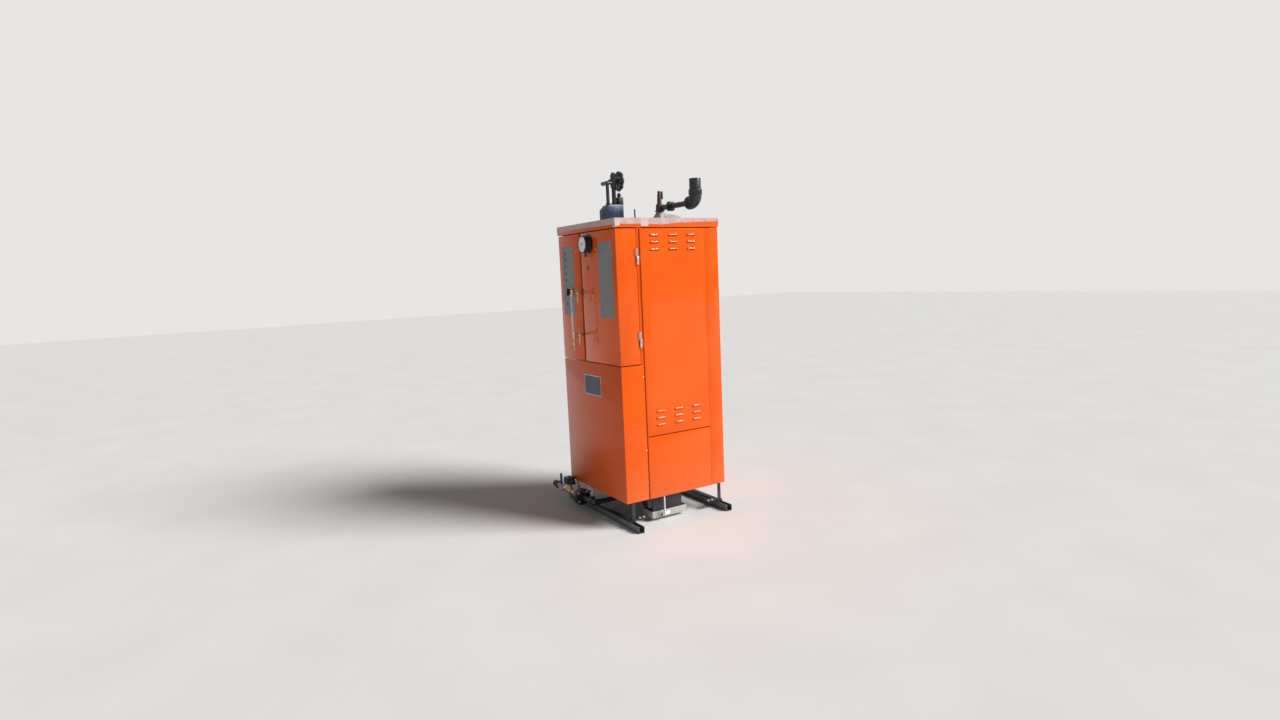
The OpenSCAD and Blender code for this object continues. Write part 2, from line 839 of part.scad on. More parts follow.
// Easing lever: a cap over the pin, two cheeks and an arm that hangs down behind the valve
module safety_lever() {
    cheek = 4;
    arm = 52;
    inner = lug_half + 0.3;
    color("saddlebrown") translate([safety_x, safety_y, safety_pin_z]) {
        for (side = [0, 1]) mirror([side, 0, 0]) translate([inner, 0, 0]) {
            bar_x(0, cheek, 8);
            translate([0, 0, -5]) cube([cheek, 24, 10]);
        }
        bar_x(-lug_half - 1, lug_half + 1, safety_pin_r);
        translate([-inner - cheek, 20, 5 - arm]) cube([2 * (inner + cheek), 5, arm]);
    }
}

// Nipple, union and pipe to the large elbow, which turns up
module relief_pipe() {
    bend_r = 46;
    union_x = 135;
    turn_x = elbow_out - bend_r;
    collar = elbow_r + 3;
    color("black") translate([safety_x, safety_y, relief_z]) {
        bar_x(40.3, union_x, relief_r);
        bar_x(union_x - 20, union_x + 20, 28);
        nut_x(union_x - 12, union_x + 12, 36);
        bar_x(union_x, turn_x - 20, relief_r);
        bar_x(elbow_out - 70, elbow_out - 44, collar);
        bar_x(elbow_out - 50, turn_x, elbow_r);
        translate([turn_x, 0, 0]) bend_up(bend_r, elbow_r);
        translate([elbow_out, 0, bend_r]) cylinder(h = 32, r = collar);
        translate([elbow_out, 0, bend_r]) cylinder(h = stub_len, r = elbow_r - 3);
    }
}

// A port on the line: a short arm to the back with an upturned end
module hose_port(x) {
    translate([x, 0, blow_z]) {
        bar_y(blow_y, bypass_y, port_r);
        translate([0, bypass_y, 0]) sphere(r = port_r);
        translate([0, bypass_y, 0]) cylinder(h = port_top, r = port_r);
    }
}

module blowdown_pipe() {
    collar = blow_r + 4;
    mate_x = blow_flange_x - 0.3;
    color("black") {
        translate([0, 0, blow_z]) cylinder(h = vessel_low - blow_z, r = blow_r);
        translate([0, 0, blow_z]) sphere(r = blow_r);
        translate([0, 0, blow_z]) bar_y(blow_y, 0, blow_r);
        translate([0, 0, blow_z]) bar_y(blow_y + 20, blow_y + 40, collar);
        translate([0, blow_y, blow_z]) {
            sphere(r = collar);
            bar_x(-40, -20, collar);
            bar_x(blow_flange_x, 0, blow_r);
            bar_x(blow_flange_x, blow_flange_x + blow_flange_t, blow_flange_r);
            bar_x(blow_flange_x, blow_flange_x + blow_flange_t + 14, blow_r + 9);
            bar_x(mate_x - blow_flange_t, mate_x, blow_flange_r);
            bar_x(flange_end - 14, mate_x, blow_r + 9);
            bar_x(dump_x, mate_x, blow_r);
        }
        hose_port(bypass_right);
    }
}

// Nipples, the solenoid valve's body and its union nuts
module dump_valve() {
    color("peru") {
        translate([0, blow_y, blow_z]) {
            bar_x(dump_end, dump_x - 0.3, blow_r);
            nut_x(dump_x - 30, dump_x - 0.3, blow_r + 8);
            nut_x(dump_x - 66, dump_x - 44, blow_r + 7);
            bar_x(coil_x - 26, coil_x + 26, 25);
            nut_x(coil_x + 20, coil_x + 42, blow_r + 9);
            nut_x(dump_end, dump_end + 16, blow_r + 8);
            translate([coil_x, 0, 0]) cylinder(h = 36, r = 20);
            translate([coil_x, 0, 0]) cylinder(h = 50, r = 9);
            translate([coil_x + 4, 0, -34]) cylinder(h = 34, r = 15);
        }
        hose_port(bypass_left);
    }
}

module dump_coil() {
    color("black") translate([coil_x, blow_y, blow_z + 50]) {
        translate([-35, -27, 0]) cube([70, 54, 46]);
        translate([34, -18, 4]) cube([30, 36, 30]);
        cylinder(h = 52, r = 8);
    }
}

// Ball valve: hexagonal ends, round body and the boss of its stem
module ball_valve() {
    color("silver") translate([0, blow_y, blow_z]) difference() {
        union() {
            bar_x(ball_end, dump_end - 0.3, blow_r - 2);
            nut_x(ball_end, ball_x - 14, ball_r + 1);
            bar_x(ball_x - 17, ball_x + 17, ball_r);
            nut_x(ball_x + 14, dump_end - 0.3, ball_r + 1);
            translate([ball_x, 0, 0]) bar_y(-ball_boss, 0, 9);
        }
        translate([ball_x, 0, 0]) bar_y(-ball_boss - 1, -ball_boss + 14, shaft_r + pin_fit);
    }
}

module ball_lever() {
    color("blue") translate([ball_x, blow_y - ball_boss - 0.5, blow_z]) {
        nut_y(-8, 0, 9);
        bar_y(-4, 0, 12);
        bar_y(-1, 12, shaft_r);
        translate([-8, -4, 0]) cube([16, 4, ball_lever_len]);
        translate([-10, -7, ball_lever_len - 78]) cube([20, 9, 78]);
    }
}

module hose_adapter() {
    color("white") translate([0, blow_y, blow_z]) {
        bar_x(adapter_end, ball_end - 0.3, blow_r);
        nut_x(ball_end - 22, ball_end - 0.3, 25);
        for (i = [0:2]) translate([-i * 13, 0, 0]) bar_x(ball_end - 33, ball_end - 26, blow_r + 5);
    }
}

module hose_tail() {
    color("black") translate([0, blow_y, blow_z]) {
        bar_x(adapter_end - tail_len, adapter_end - 0.3, blow_r + 6);
        nut_x(adapter_end - 20, adapter_end - 0.3, blow_r + 11);
    }
}

module bypass_hose() {
    turn = 36;
    low = blow_z + port_top;
    leg = 18;
    color("white") translate([0, bypass_y, low + 0.3]) {
        for (x = [bypass_left, bypass_right]) translate([x, 0, 0]) cylinder(h = leg, r = hose_r);
        translate([bypass_right - turn, 0, leg + turn]) mirror([0, 0, 1]) bend_up(turn, hose_r);
        translate([bypass_left + turn, 0, leg + turn]) mirror([0, 0, 1]) mirror([1, 0, 0])
            bend_up(turn, hose_r);
        translate([0, 0, leg + turn]) bar_x(bypass_left + turn, bypass_right - turn, hose_r);
    }
}

module wiring_trough() {
    rim = 10;
    color("gainsboro") translate([trough_side - trough_w, trough_y, trough_z]) difference() {
        cube([trough_w, trough_len, trough_h]);
        translate([3, 3, trough_h - rim]) cube([trough_w - 6, trough_len - 6, rim + 1]);
    }
}

// Closed box between the right bearer and the trough, which hangs from it
module terminal_box() {
    low = trough_z + trough_h - 10;
    box_w = 82;
    color("black") translate([trough_side - box_w - 7, trough_y + 8, 0]) {
        translate([0, 0, low]) cube([box_w, trough_len - 40, floor_gap - low]);
        translate([4, -34, low + 40]) cube([box_w - 8, 36, floor_gap - low - 40]);
    }
}

module conduit() {
    nut = 14;
    tube_r = 5;
    turn = 12;
    z = trough_z + 18;
    color("white") translate([trough_side, trough_y + gland_y, z]) {
        nut_x(0, 6, 12);
        bar_x(5, nut, 9);
        bar_x(nut - 1, nut + 4, tube_r);
        translate([nut + 4, 0, 0]) bend_up(turn, tube_r);
        translate([nut + 4 + turn, 0, turn]) cylinder(h = floor_gap - z - turn, r = tube_r);
    }
}

lid();
left_door();
right_door();
door_hinges();
door_lock();
pressure_gauge();
indicator_lamps();
isolator_base();
isolator_knob();
lower_front_panel();
upper_panel();  // right_upper_panel
mirror([1, 0, 0]) upper_panel();  // left_upper_panel
lower_side_panels();
rear_panel();
upper_frame();
base_frame();
legs();
foot_bars();
rails();
boiler_vessel();
gauge_cocks();
upper_cock_lever();
lower_cock_lever();
gauge_glass();
glass_guard();
drain_cock();
valve_chest();
steam_valve();
steam_handwheel();
pressure_switch();
safety_valve();
safety_lever();
relief_pipe();
blowdown_pipe();
dump_valve();
dump_coil();
ball_valve();
ball_lever();
hose_adapter();
hose_tail();
bypass_hose();
wiring_trough();
terminal_box();
conduit();
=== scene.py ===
import bmesh
import bpy
import json
import math
from mathutils import Matrix, Vector, noise

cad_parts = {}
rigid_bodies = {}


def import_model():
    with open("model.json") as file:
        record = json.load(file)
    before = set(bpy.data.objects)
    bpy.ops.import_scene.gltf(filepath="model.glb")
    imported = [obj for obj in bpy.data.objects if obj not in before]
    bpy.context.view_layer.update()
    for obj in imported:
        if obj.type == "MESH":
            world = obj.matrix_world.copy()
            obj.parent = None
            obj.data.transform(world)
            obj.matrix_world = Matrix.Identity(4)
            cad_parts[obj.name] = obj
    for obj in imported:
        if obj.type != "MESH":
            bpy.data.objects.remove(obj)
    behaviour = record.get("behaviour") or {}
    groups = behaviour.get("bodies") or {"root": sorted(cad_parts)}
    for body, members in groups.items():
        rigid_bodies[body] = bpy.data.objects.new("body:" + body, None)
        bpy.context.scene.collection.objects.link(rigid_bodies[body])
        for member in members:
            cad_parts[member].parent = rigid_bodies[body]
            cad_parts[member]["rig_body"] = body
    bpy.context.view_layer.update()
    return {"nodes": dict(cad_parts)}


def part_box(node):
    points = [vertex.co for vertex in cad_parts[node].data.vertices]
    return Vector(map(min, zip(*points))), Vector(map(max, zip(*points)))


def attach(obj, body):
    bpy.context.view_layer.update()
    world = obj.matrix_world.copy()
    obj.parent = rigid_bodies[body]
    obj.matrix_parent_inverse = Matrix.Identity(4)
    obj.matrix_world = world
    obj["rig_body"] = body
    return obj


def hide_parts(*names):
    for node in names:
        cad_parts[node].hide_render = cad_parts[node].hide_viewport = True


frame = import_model()
nodes = frame["nodes"]

# The camera stands to the right of the boiler's front corner, a little under the lid's height,
# and looks slightly down at it through a wide lens, as the photographer did.
CAMERA_PLACE = Vector((4.195, -2.5675, 1.595))
CAMERA_YAW, CAMERA_PITCH, CAMERA_ROLL = 1.023, 0.119, -0.043
FOCAL_PIXELS, FRAME_PIXELS, SENSOR = 727.5, 1280, 36

camera_data = bpy.data.cameras.new("camera")
camera_data.sensor_width = SENSOR
camera_data.lens = FOCAL_PIXELS * SENSOR / FRAME_PIXELS
camera = bpy.data.objects.new("camera", camera_data)
forward = Vector((-math.sin(CAMERA_YAW) * math.cos(CAMERA_PITCH),
                  math.cos(CAMERA_YAW) * math.cos(CAMERA_PITCH), -math.sin(CAMERA_PITCH)))
level_right = Vector((math.cos(CAMERA_YAW), math.sin(CAMERA_YAW), 0))
level_up = level_right.cross(forward)
right = math.cos(CAMERA_ROLL) * level_right + math.sin(CAMERA_ROLL) * level_up
up = math.cos(CAMERA_ROLL) * level_up - math.sin(CAMERA_ROLL) * level_right
camera_turn = Matrix((right, up, -forward)).transposed().to_4x4()
camera.matrix_world = Matrix.Translation(CAMERA_PLACE) @ camera_turn
bpy.context.scene.collection.objects.link(camera)
bpy.context.scene.camera = camera
bpy.context.scene.view_settings.view_transform = "Standard"


# The studio is a wide pale floor in soft light: a wide sun from the right and behind, a weak fill
# on the shaded front, and an even dim world that shows as pale as the floor.
def fill_inputs(node, inputs):
    for name, value in inputs.items():
        if isinstance(value, bpy.types.NodeSocket):
            node.id_data.links.new(value, node.inputs[name])
        else:
            node.inputs[name].default_value = value


def add_node(tree, kind, inputs, **settings):
    node = tree.nodes.new(kind)
    for name, value in settings.items():
        setattr(node, name, value)
    fill_inputs(node, inputs)
    return node


def principled(material):
    return material.node_tree.nodes["Principled BSDF"]


def grained(name, pale, dark, size, rough, depth, metal=0, stretch=(1, 1, 1), shine=None):
    material = bpy.data.materials.new(name)
    material.use_nodes = True
    tree = material.node_tree
    coords = add_node(tree, "ShaderNodeTexCoord", {}, name="coords")
    mapping = add_node(tree, "ShaderNodeMapping",
                       {"Vector": coords.outputs["Object"], "Scale": stretch})
    placed = mapping.outputs["Vector"]
    broad = add_node(tree, "ShaderNodeTexNoise", {"Vector": placed, "Scale": 1 / size, "Detail": 6})
    ramp = add_node(tree, "ShaderNodeValToRGB", {"Fac": broad.outputs["Fac"]}, name="ramp")
    low_stop, high_stop = ramp.color_ramp.elements
    low_stop.position, low_stop.color = 0.36, (*dark, 1)
    high_stop.position, high_stop.color = 0.64, (*pale, 1)
    span = add_node(tree, "ShaderNodeMapRange",
                    {"Value": broad.outputs["Fac"], "From Min": 0.3, "From Max": 0.7,
                     "To Min": rough[0], "To Max": rough[1]})
    fine = add_node(tree, "ShaderNodeTexNoise", {"Vector": placed, "Scale": 8 / size, "Detail": 3})
    bump = add_node(tree, "ShaderNodeBump",
                    {"Height": fine.outputs["Fac"], "Strength": 1, "Distance": depth}, name="bump")
    fill_inputs(principled(material),
                {"Base Color": ramp.outputs["Color"], "Roughness": span.outputs["Result"],
                 "Normal": bump.outputs["Normal"], "Metallic": metal, **(shine or {})})
    return material


def show(mesh_bm, name, material):
    mesh = bpy.data.meshes.new(name)
    mesh_bm.to_mesh(mesh)
    mesh_bm.free()
    for finish in material if isinstance(material, (list, tuple)) else [material]:
        mesh.materials.append(finish)
    piece = bpy.data.objects.new(name, mesh)
    bpy.context.scene.collection.objects.link(piece)
    return piece


FLOOR_REACH = 30
floor_bm = bmesh.new()
bmesh.ops.create_grid(floor_bm, x_segments=1, y_segments=1, size=FLOOR_REACH)
floor_paint = grained("floor_paint", (0.80, 0.79, 0.77), (0.77, 0.76, 0.74), 0.6, (0.7, 0.8), 0.0002)
floor = show(floor_bm, "floor", floor_paint)

MIRRORED_SHARE = 0.6
world = bpy.data.worlds.new("studio")
world.use_nodes = True
sky = world.node_tree
dim = sky.nodes["Background"]
fill_inputs(dim, {"Color": (0.93, 0.94, 0.96, 1), "Strength": 0.12})
pale_sky = add_node(sky, "ShaderNodeBackground", {"Color": (0.80, 0.79, 0.78, 1)})
ray = add_node(sky, "ShaderNodeLightPath", {})
seen = add_node(sky, "ShaderNodeMath", {0: ray.outputs["Is Camera Ray"],
                                        1: ray.outputs["Is Transmission Ray"]}, operation="MAXIMUM")
mirrored = add_node(sky, "ShaderNodeMath",
                    {0: ray.outputs["Is Glossy Ray"], 1: MIRRORED_SHARE, 2: seen.outputs["Value"]},
                    operation="MULTIPLY_ADD")
backdrop = add_node(sky, "ShaderNodeMixShader",
                    {"Fac": mirrored.outputs["Value"], 1: dim.outputs["Background"],
                     2: pale_sky.outputs["Background"]})
fill_inputs(sky.nodes["World Output"], {"Surface": backdrop.outputs["Shader"]})
bpy.context.scene.world = world


def aimed_light(name, kind, place, target, power):
    lamp_data = bpy.data.lights.new(name, kind)
    lamp_data.energy = power
    lamp = bpy.data.objects.new(name, lamp_data)
    lamp.location = place
    lamp.rotation_euler = (Vector(target) - Vector(place)).to_track_quat("-Z", "Y").to_euler()
    bpy.context.scene.collection.objects.link(lamp)
    return lamp_data


key = aimed_light("key_light", "SUN", place=(4.8, 4.5, 5.8), target=(0, 0, 1.1), power=4.4)
key.angle = math.radians(28)
fill = aimed_light("fill_light", "AREA", place=(-1.5, -6.0, 3.0), target=(0, 0, 1.0), power=6)
fill.size = 4


# Two channel rails of rolled steel carry the boiler. They lie open side up, their zinc dull
# with a faint spangle, and flat bars and angle legs of black enamelled steel stand on them.
def merged_copy(node):
    bm = bmesh.new()
    bm.from_mesh(nodes[node].data)
    bmesh.ops.remove_doubles(bm, verts=bm.verts, dist=0.00002)
    bmesh.ops.dissolve_limit(bm, angle_limit=math.radians(0.6), verts=bm.verts, edges=bm.edges)
    return bm


def bevel(bm, edges, width, segments=2):
    bmesh.ops.bevel(bm, geom=edges, offset=width, offset_type="OFFSET", segments=segments,
                    profile=0.5, affect="EDGES", clamp_overlap=True, material=-1)


def round_edges(bm, width, picked=lambda edge: True):
    bevel(bm, [e for e in bm.edges if len(e.link_faces) == 2 and e.is_convex
               and e.calc_face_angle(0) > math.radians(32) and picked(e)], width)


def smooth_curves(bm, sharp=28):
    for face in bm.faces:
        face.smooth = True
    for edge in bm.edges:
        edge.smooth = len(edge.link_faces) == 2 and edge.calc_face_angle(0) < math.radians(sharp)


def stand_for(piece, node):
    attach(piece, nodes[node]["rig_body"])
    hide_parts(node)
    return piece


def dress(node, name, material, width, second=None, picked=lambda edge: True, sharp=28):
    bm = merged_copy(node)
    if width:
        round_edges(bm, width, picked)
    if second:
        for face in bm.faces:
            face.material_index = int(second(face.calc_center_median(), face))
    smooth_curves(bm, sharp)
    return stand_for(show(bm, name, material), node)


rail_zinc = grained("rail_zinc", (0.20, 0.21, 0.225), (0.13, 0.14, 0.15), 0.02, (0.42, 0.6), 0.0001,
                    metal=0.75)
zinc = rail_zinc.node_tree
spangle = add_node(zinc, "ShaderNodeTexVoronoi",
                   {"Vector": zinc.nodes["coords"].outputs["Object"], "Scale": 110})
spangled = add_node(zinc, "ShaderNodeMix",
                    {"Factor": 0.25, "A": zinc.nodes["ramp"].outputs["Color"],
                     "B": spangle.outputs["Color"]}, data_type="RGBA", blend_type="OVERLAY")
fill_inputs(principled(rail_zinc), {"Base Color": spangled.outputs["Result"]})
dress("rails", "channel_rails", rail_zinc, 0.0004)

black_enamel = grained("black_enamel", (0.026, 0.026, 0.028), (0.014, 0.014, 0.016), 0.05,
                       (0.3, 0.5), 0.00012)
dress("legs", "corner_legs", black_enamel, 0.0006)
dress("foot_bars", "rail_bars", black_enamel, 0.0006)
dress("base_frame", "base_frame_bars", black_enamel, 0.001)


# Hexagon bolts hold the legs' foot plates down to the bars and the rails under them.
# Each is zinc-plated steel with a washer under its head.
def bar(bm, start, end, radius, sides=24):
    start, end = Vector(start), Vector(end)
    turn = (end - start).to_track_quat("Z", "Y").to_matrix().to_4x4()
    made = bmesh.ops.create_cone(bm, cap_ends=True, segments=sides, radius1=radius, radius2=radius,
                                 depth=(end - start).length,
                                 matrix=Matrix.Translation((start + end) / 2) @ turn)
    return made["verts"]


def bolt(bm, seat, out, size):
    seat, out = Vector(seat), Vector(out).normalized()
    washer_top, head_top = seat + out * 0.15 * size, seat + out * 0.8 * size
    bar(bm, seat, washer_top, 1.05 * size)
    head = bar(bm, washer_top, head_top, 0.92 * size, 6)
    bevel(bm, [e for e in bm.edges if e.verts[0] in head and e.verts[1] in head
               and all((v.co - seat).dot(out) > 0.7 * size for v in e.verts)], 0.1 * size)


def add_piece(bm, name, material, body):
    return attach(show(bm, name, material), body)


plated_steel = grained("plated_steel", (0.62, 0.61, 0.58), (0.44, 0.43, 0.41), 0.006,
                       (0.25, 0.42), 0.00004, metal=1)
FOOT_TOP, LEG_CORNER_Y, FOOT_BOLT_INSET, BOLT_SIZE = 0.057, 0.3605, 0.018, 0.009
foot_bolt_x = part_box("legs")[1].x - FOOT_BOLT_INSET
foot_bolts = bmesh.new()
for x_side in (-1, 1):
    for y_side in (-1, 1):
        for inward in (0.075, 0.105):
            bolt(foot_bolts, (x_side * foot_bolt_x, y_side * (LEG_CORNER_Y - inward), FOOT_TOP),
                 (0, 0, 1), BOLT_SIZE)
smooth_curves(foot_bolts)
add_piece(foot_bolts, "foot_bolts", plated_steel, "cabinet")


# The pressure vessel stands on the base frame in a jacket of thin aluminium sheet, held by four
# steel bands with a buckle on each. It shows only where a door is open.
def block(bm, middle, size, turn=Matrix.Identity(4)):
    placed = Matrix.Translation(middle) @ turn @ Matrix.Diagonal((*size, 1))
    return bmesh.ops.create_cube(bm, size=1, matrix=placed)["verts"]


def spun(bm, points, middle, axis, steps, closed=True):
    ring = [bm.verts.new(point) for point in points]
    pairs = zip(ring, ring[1:] + ring[:1]) if closed else zip(ring, ring[1:])
    edges = [bm.edges.new(pair) for pair in pairs]
    bmesh.ops.spin(bm, geom=ring + edges, cent=middle, axis=axis, angle=2 * math.pi, steps=steps,
                   use_merge=True)


jacket_foil = grained("jacket_foil", (0.72, 0.72, 0.73), (0.56, 0.56, 0.58), 0.09, (0.28, 0.45),
                      0.002, metal=1)
VENT_RADIUS, VENT_LENGTH = 0.0055, 0.15
jacket_radius, vessel_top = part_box("boiler_vessel")[1].x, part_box("boiler_vessel")[1].z
dress("boiler_vessel", "jacketed_vessel", [jacket_foil, black_enamel], 0,
      lambda middle, face: math.hypot(middle.x, middle.y) < VENT_RADIUS
      and middle.z > vessel_top - VENT_LENGTH)

BAND_WIDTH, BAND_OUT, BAND_SUNK = 0.019, 0.0012, 0.0004
BUCKLE_X, BUCKLE_SIZE, BUCKLE_TURN = 0.06, (0.034, 0.006, 0.026), 0.22
buckle_y = -math.sqrt(jacket_radius ** 2 - BUCKLE_X ** 2) - 0.001
bands = bmesh.new()
for height in (0.36, 0.80, 1.15, 1.60):
    section = ((-BAND_SUNK, 0), (BAND_OUT, 0), (BAND_OUT, BAND_WIDTH), (-BAND_SUNK, BAND_WIDTH))
    spun(bands, [(jacket_radius + out, 0, height + rise) for out, rise in section],
         (0, 0, 0), (0, 0, 1), 120)
    buckle = block(bands, (BUCKLE_X, buckle_y, height + BAND_WIDTH / 2), BUCKLE_SIZE,
                   Matrix.Rotation(BUCKLE_TURN, 4, "Z"))
    bevel(bands, list({e for v in buckle for e in v.link_edges}), 0.0018)
bmesh.ops.recalc_face_normals(bands, faces=bands.faces)
smooth_curves(bands)
add_piece(bands, "jacket_bands", plated_steel, "cabinet")


# The cabinet is folded from 2 mm steel sheet and stoved in a glossy orange enamel, which mirrors
# what stands near it. The folds are rounded, and a little dust lies near the lower edges.
WAVE_DEPTH, PEEL_DEPTH = 0.0006, 0.00001
orange_enamel = grained("orange_enamel", (0.84, 0.110, 0.002), (0.79, 0.098, 0.002), 0.35,
                        (0.06, 0.11), WAVE_DEPTH,
                        shine={"Coat Weight": 0.1, "Coat Roughness": 0.04,
                               "Specular IOR Level": 0.25})
paint = orange_enamel.node_tree
paint_place = paint.nodes["coords"].outputs["Object"]
wave = add_node(paint, "ShaderNodeTexNoise", {"Vector": paint_place, "Scale": 3.5, "Detail": 0})
fill_inputs(paint.nodes["bump"], {"Height": wave.outputs["Fac"]})
peel = add_node(paint, "ShaderNodeTexNoise", {"Vector": paint_place, "Scale": 260})
peel_bump = add_node(paint, "ShaderNodeBump",
                     {"Height": peel.outputs["Fac"], "Strength": 1, "Distance": PEEL_DEPTH,
                      "Normal": paint.nodes["bump"].outputs["Normal"]})
place_split = add_node(paint, "ShaderNodeSeparateXYZ", {"Vector": paint_place})
dust_fade = add_node(paint, "ShaderNodeMapRange",
                     {"Value": place_split.outputs["Z"], "From Min": 0.17, "From Max": 0.42,
                      "To Min": 0.22, "To Max": 0.0})
dust_noise = add_node(paint, "ShaderNodeTexNoise",
                      {"Vector": paint_place, "Scale": 18, "Detail": 8})
dust_amount = add_node(paint, "ShaderNodeMath",
                       {0: dust_fade.outputs["Result"], 1: dust_noise.outputs["Fac"]},
                       operation="MULTIPLY")
dusty = add_node(paint, "ShaderNodeMix",
                 {"Factor": dust_amount.outputs["Value"], "A": paint.nodes["ramp"].outputs["Color"],
                  "B": (0.42, 0.30, 0.20, 1)}, data_type="RGBA")
fill_inputs(principled(orange_enamel),
            {"Base Color": dusty.outputs["Result"], "Normal": peel_bump.outputs["Normal"]})


def outer_fold(edge):
    return edge.calc_length() > 0.05 and all(f.calc_area() > 0.003 for f in edge.link_faces)


def sheet_metal(node, name, fold_radius=0.0025, materials=(orange_enamel,), second=None):
    return dress(node, name, materials, fold_radius, second, outer_fold, sharp=34)


sheet_metal("upper_frame", "corner_posts")
sheet_metal("lower_front_panel", "lower_front_cover")
sheet_metal("rear_panel", "rear_cover")
sheet_metal("lower_side_panels", "lower_side_covers", 0.002)
sheet_metal("right_upper_panel", "right_louvred_cover", 0.002)
sheet_metal("left_upper_panel", "left_louvred_cover", 0.002)
sheet_metal("lid", "folded_lid")


# Pan-head screws hold the lower front cover by its returns, and one sits high on each door. They
# are bright plated steel with a cross slot, flat on the enamel, and move with what they hold.
def pan_screw(bm, seat, out, radius):
    seat, out = Vector(seat), Vector(out).normalized()
    turn = out.to_track_quat("Z", "Y").to_matrix().to_4x4()
    made = bmesh.ops.create_uvsphere(bm, u_segments=20, v_segments=10, radius=radius,
                                     matrix=Matrix.Translation(seat) @ turn
                                     @ Matrix.Diagonal((1, 1, 0.55, 1)))
    under = [v for v in made["verts"] if (v.co - seat).dot(out) < -0.0002]
    bmesh.ops.delete(bm, geom=under, context="VERTS")
    for angle in (math.pi / 4, -math.pi / 4):
        block(bm, seat + out * radius * 0.5, (radius * 1.1, radius * 0.22, radius * 0.16),
              turn @ Matrix.Rotation(angle, 4, "Z"))


panel_low, panel_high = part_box("lower_front_panel")
front_y = panel_low.y
cover_screws = bmesh.new()
for x_side in (-1, 1):
    for height in (0.954, 0.486, 0.282):
        pan_screw(cover_screws, (x_side * panel_high.x, front_y + 0.157, height), (x_side, 0, 0),
                  0.0045)
smooth_curves(cover_screws)
add_piece(cover_screws, "cover_screws", plated_steel, "cabinet")
for door, across, height in (("left_door", -0.1402, 1.7536), ("right_door", 0.134, 1.7543)):
    door_screw = bmesh.new()
    pan_screw(door_screw, (across, front_y, height), (0, -1, 0), 0.005)
    smooth_curves(door_screw)
    add_piece(door_screw, door + "_screw", plated_steel, door)


# Each door hangs on two lift-off hinges of bright steel; the lock is a quarter-turn barrel with a
# key socket whose recess is painted near-black as painted shade. A hinge's leaf is painted with its
# door and its knuckle is left bright.
LOCK_X, LOCK_Z, SOCKET_RADIUS, SOCKET_DEPTH = 0.031, 1.637, 0.0045, 0.003
hinge_steel = grained("hinge_steel", (0.78, 0.76, 0.73), (0.60, 0.58, 0.56), 0.02, (0.22, 0.36),
                      0.00004, metal=1, stretch=(1, 1, 6))
dress("door_hinges", "hinge_halves", hinge_steel, 0.0005)
for door in ("right_door", "left_door"):
    sheet_metal(door, door + "_leaf", materials=(orange_enamel, hinge_steel),
                second=lambda middle, face: abs(middle.x) > panel_high.x + 0.0023)

# Painted shade: the key socket's recess, its front 3 mm round the lock's middle, is painted
# near-black.
socket_painted_shade = grained("socket_painted_shade", (0.02, 0.02, 0.02), (0.01, 0.01, 0.01), 0.01, (0.5, 0.7),
                      0.00005)
lock_plating = grained("lock_plating", (0.82, 0.81, 0.79), (0.72, 0.71, 0.69), 0.01, (0.25, 0.4),
                       0.00003, metal=0.35)
socket_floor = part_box("door_lock")[0].y + SOCKET_DEPTH
dress("door_lock", "quarter_turn_lock", [lock_plating, socket_painted_shade], 0.0004,
      lambda middle, face: math.hypot(middle.x - LOCK_X, middle.z - LOCK_Z) < SOCKET_RADIUS
      and middle.y < socket_floor)


# A milky protective film still covers the lid's top and hangs over its edge, torn off unevenly
# along the bottom; two strips of clear tape, one round the corner, hold it. It is cut out round
# the fittings.
def thicken(piece, thickness, offset):
    wall = piece.modifiers.new("thickness", "SOLIDIFY")
    wall.thickness, wall.offset = thickness, offset
    return piece


milky_film = grained("milky_film", (0.60, 0.42, 0.40), (0.50, 0.33, 0.31), 0.05, (0.25, 0.45),
                     0.0008, shine={"Coat Weight": 0.3})
FILM_OUT, FILM_CELL, FILM_DROP = 0.0006, 0.0125, 0.036
STEAM_X, CHEST_Y, SAFETY_X, SAFETY_Y = -0.1, -0.119, -0.05, 0.232
lid_low, lid_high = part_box("lid")
half_x, half_y, film_z = lid_high.x + FILM_OUT, lid_high.y + FILM_OUT, lid_high.z + FILM_OUT
film = bmesh.new()
columns, rows = round(2 * half_x / FILM_CELL), round(2 * half_y / FILM_CELL)
bmesh.ops.create_grid(film, x_segments=columns, y_segments=rows, size=1,
                      matrix=Matrix.Translation((0, 0, film_z))
                      @ Matrix.Diagonal((half_x, half_y, 1, 1)))
openings = ((STEAM_X, CHEST_Y, 0.050), (SAFETY_X, SAFETY_Y, 0.042), (0, 0, 0.026))
holed = [v for v in film.verts
         if any(math.hypot(v.co.x - x, v.co.y - y) < r for x, y, r in openings)]
bmesh.ops.delete(film, geom=holed, context="VERTS")
rim = [e for e in film.edges if e.is_boundary
       and (max(abs(v.co.x) for v in e.verts) > 0.999 * half_x
            or max(abs(v.co.y) for v in e.verts) > 0.999 * half_y)]
for drop in (0.4, 0.75, 1.0):
    pulled = bmesh.ops.extrude_edge_only(film, edges=rim)["geom"]
    rim = [g for g in pulled if isinstance(g, bmesh.types.BMEdge)
           and all(v in pulled for v in g.verts) and g.is_boundary]
    for vert in {v for e in rim for v in e.verts}:
        place = Vector((vert.co.x, vert.co.y, 0))
        rear = max(0.5, 1 - max(0, place.y + 0.05) * 1.15)
        tear = noise.noise(place * 9) * 0.006 + noise.noise(place * 41) * 0.0035
        vert.co.z = film_z - drop * (FILM_DROP * rear + tear)
for vert in film.verts:
    inside = abs(vert.co.x) < half_x - 0.002 and abs(vert.co.y) < half_y - 0.002
    if vert.co.z > lid_high.z and inside:
        vert.co.z += 0.0012 * max(0, noise.noise(vert.co * 14) + 0.2)
bmesh.ops.recalc_face_normals(film, faces=film.faces)
smooth_curves(film, 60)
thicken(add_piece(film, "lid_film", milky_film, "cabinet"), 0.0003, 1)

